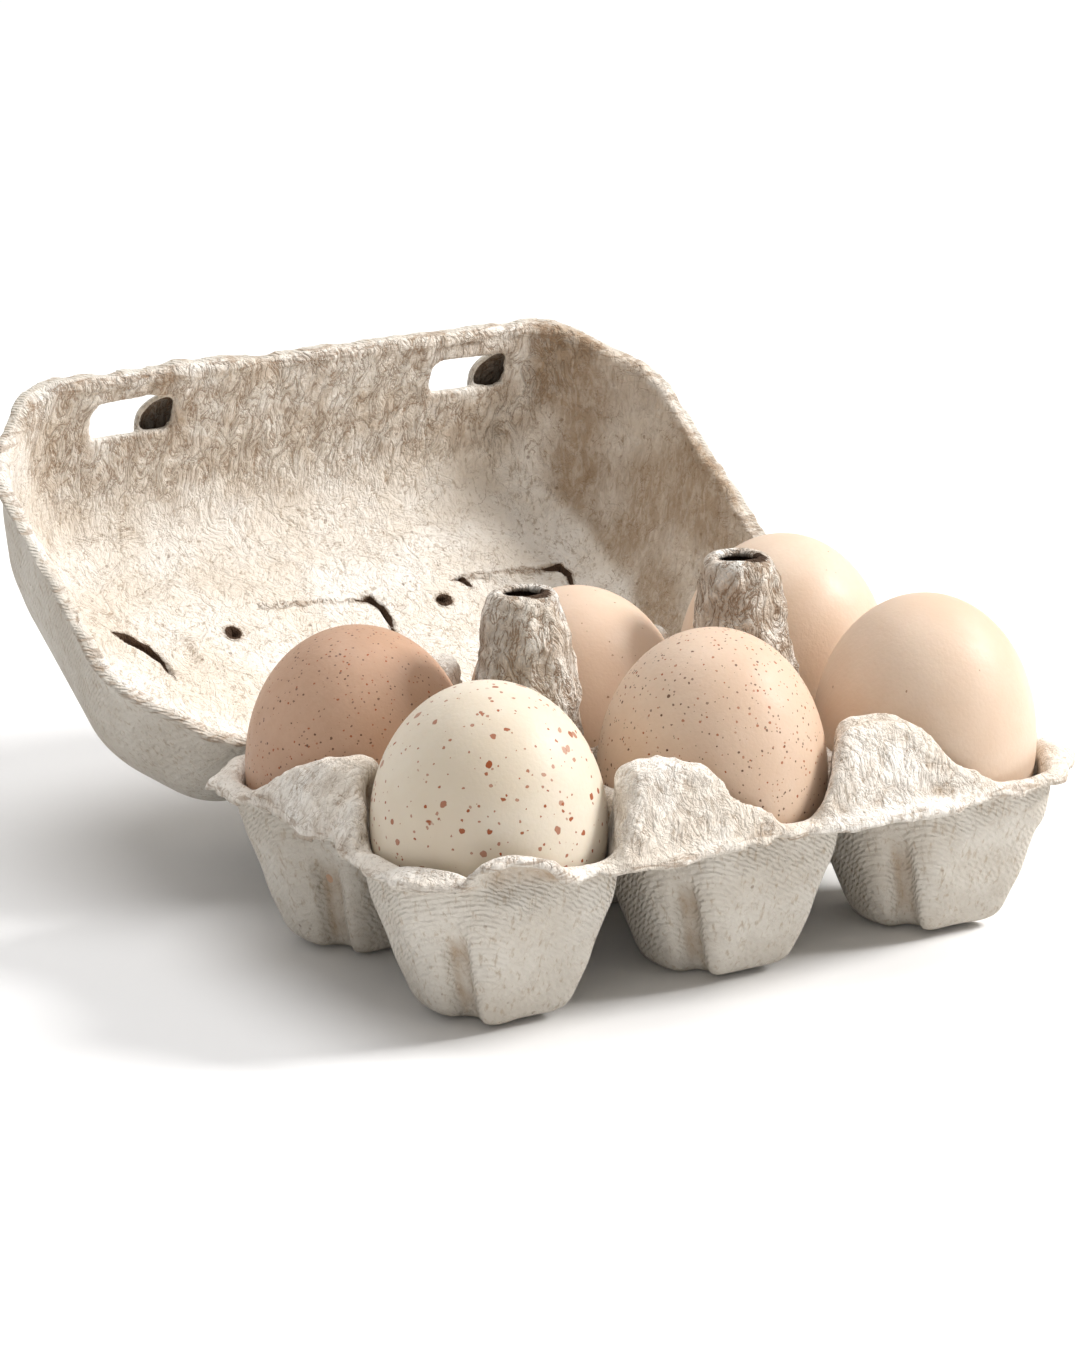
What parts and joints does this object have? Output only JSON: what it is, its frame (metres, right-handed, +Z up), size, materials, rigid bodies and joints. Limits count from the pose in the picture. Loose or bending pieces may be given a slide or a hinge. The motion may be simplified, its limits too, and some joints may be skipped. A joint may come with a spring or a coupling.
{
  "type": "egg carton",
  "caption": "Moulded-pulp carton with tapered cups, hollow posts, rim humps and a hinged lid with lock windows, shown open and holding loose eggs.",
  "frame": {"origin": "bottom centre of the box around the open carton, on the surface that the cups stand on", "axes": "+X along the carton's length to the right, +Y from the tray towards the open lid, +Z up"},
  "size_m": [0.161, 0.1964, 0.091],
  "materials": {
    "pulp_outer": "matte",
    "pulp_inner": "matte",
    "eggshell_brown_speckled": "satin",
    "eggshell_cream_blotched": "satin",
    "eggshell_tan_speckled": "satin",
    "eggshell_light_plain": "satin",
    "eggshell_peach_plain": "satin",
    "eggshell_pale_plain": "satin"
  },
  "bodies": {
    "tray": {"cup_front_left": "pulp_outer", "cup_front_middle": "pulp_outer", "cup_front_right": "pulp_outer", "cup_back_left": "pulp_outer", "cup_back_middle": "pulp_outer", "cup_back_right": "pulp_outer", "rim_flange": "pulp_outer", "post_left": "pulp_inner", "post_right": "pulp_inner", "hump_front_left": "pulp_inner", "hump_front_right": "pulp_inner", "hump_back_left": "pulp_inner", "hump_back_right": "pulp_inner", "hump_end_left": "pulp_inner", "hump_end_right": "pulp_inner", "ridge_front_left": "pulp_inner", "ridge_front_right": "pulp_inner", "ridge_back_left": "pulp_inner", "ridge_back_right": "pulp_inner", "ridge_end_left": "pulp_inner", "ridge_end_right": "pulp_inner", "ridge_middle": "pulp_inner", "hinge_crease": "pulp_outer"},
    "lid": {"lid_front_wall": "pulp_inner", "lid_corner_front_right": "pulp_inner", "lid_end_right": "pulp_inner", "lid_corner_back_right": "pulp_inner", "lid_back_wall": "pulp_inner", "lid_corner_back_left": "pulp_inner", "lid_end_left": "pulp_inner", "lid_corner_front_left": "pulp_inner", "lid_roof": "pulp_inner", "window_lip_left": "pulp_outer", "window_lip_right": "pulp_outer"},
    "egg_body_brown_speckled": {"egg_brown_speckled": "eggshell_brown_speckled"},
    "egg_body_cream_blotched": {"egg_cream_blotched": "eggshell_cream_blotched"},
    "egg_body_tan_speckled": {"egg_tan_speckled": "eggshell_tan_speckled"},
    "egg_body_light_plain": {"egg_light_plain": "eggshell_light_plain"},
    "egg_body_peach_plain": {"egg_peach_plain": "eggshell_peach_plain"},
    "egg_body_pale_plain": {"egg_pale_plain": "eggshell_pale_plain"}
  },
  "joints": [
    {"name": "lid_hinge", "type": "hinge", "parent": "tray", "child": "lid", "pos_m": [0, 0.00414, 0.0342], "axis": [-1, 0, 0], "range_deg": [-146, 24]},
    {"name": "lift_brown_speckled", "type": "slide", "parent": "tray", "child": "egg_body_brown_speckled", "axis": [0, 0, 1], "range_m": [0, 0.072]},
    {"name": "lift_cream_blotched", "type": "slide", "parent": "tray", "child": "egg_body_cream_blotched", "axis": [0, 0, 1], "range_m": [0, 0.072]},
    {"name": "lift_tan_speckled", "type": "slide", "parent": "tray", "child": "egg_body_tan_speckled", "axis": [0, 0, 1], "range_m": [0, 0.072]},
    {"name": "lift_light_plain", "type": "slide", "parent": "tray", "child": "egg_body_light_plain", "axis": [0, 0, 1], "range_m": [0, 0.072]},
    {"name": "lift_peach_plain", "type": "slide", "parent": "tray", "child": "egg_body_peach_plain", "axis": [0, 0, 1], "range_m": [0, 0.072]},
    {"name": "lift_pale_plain", "type": "slide", "parent": "tray", "child": "egg_body_pale_plain", "axis": [0, 0, 1], "range_m": [0, 0.072]}
  ]
}
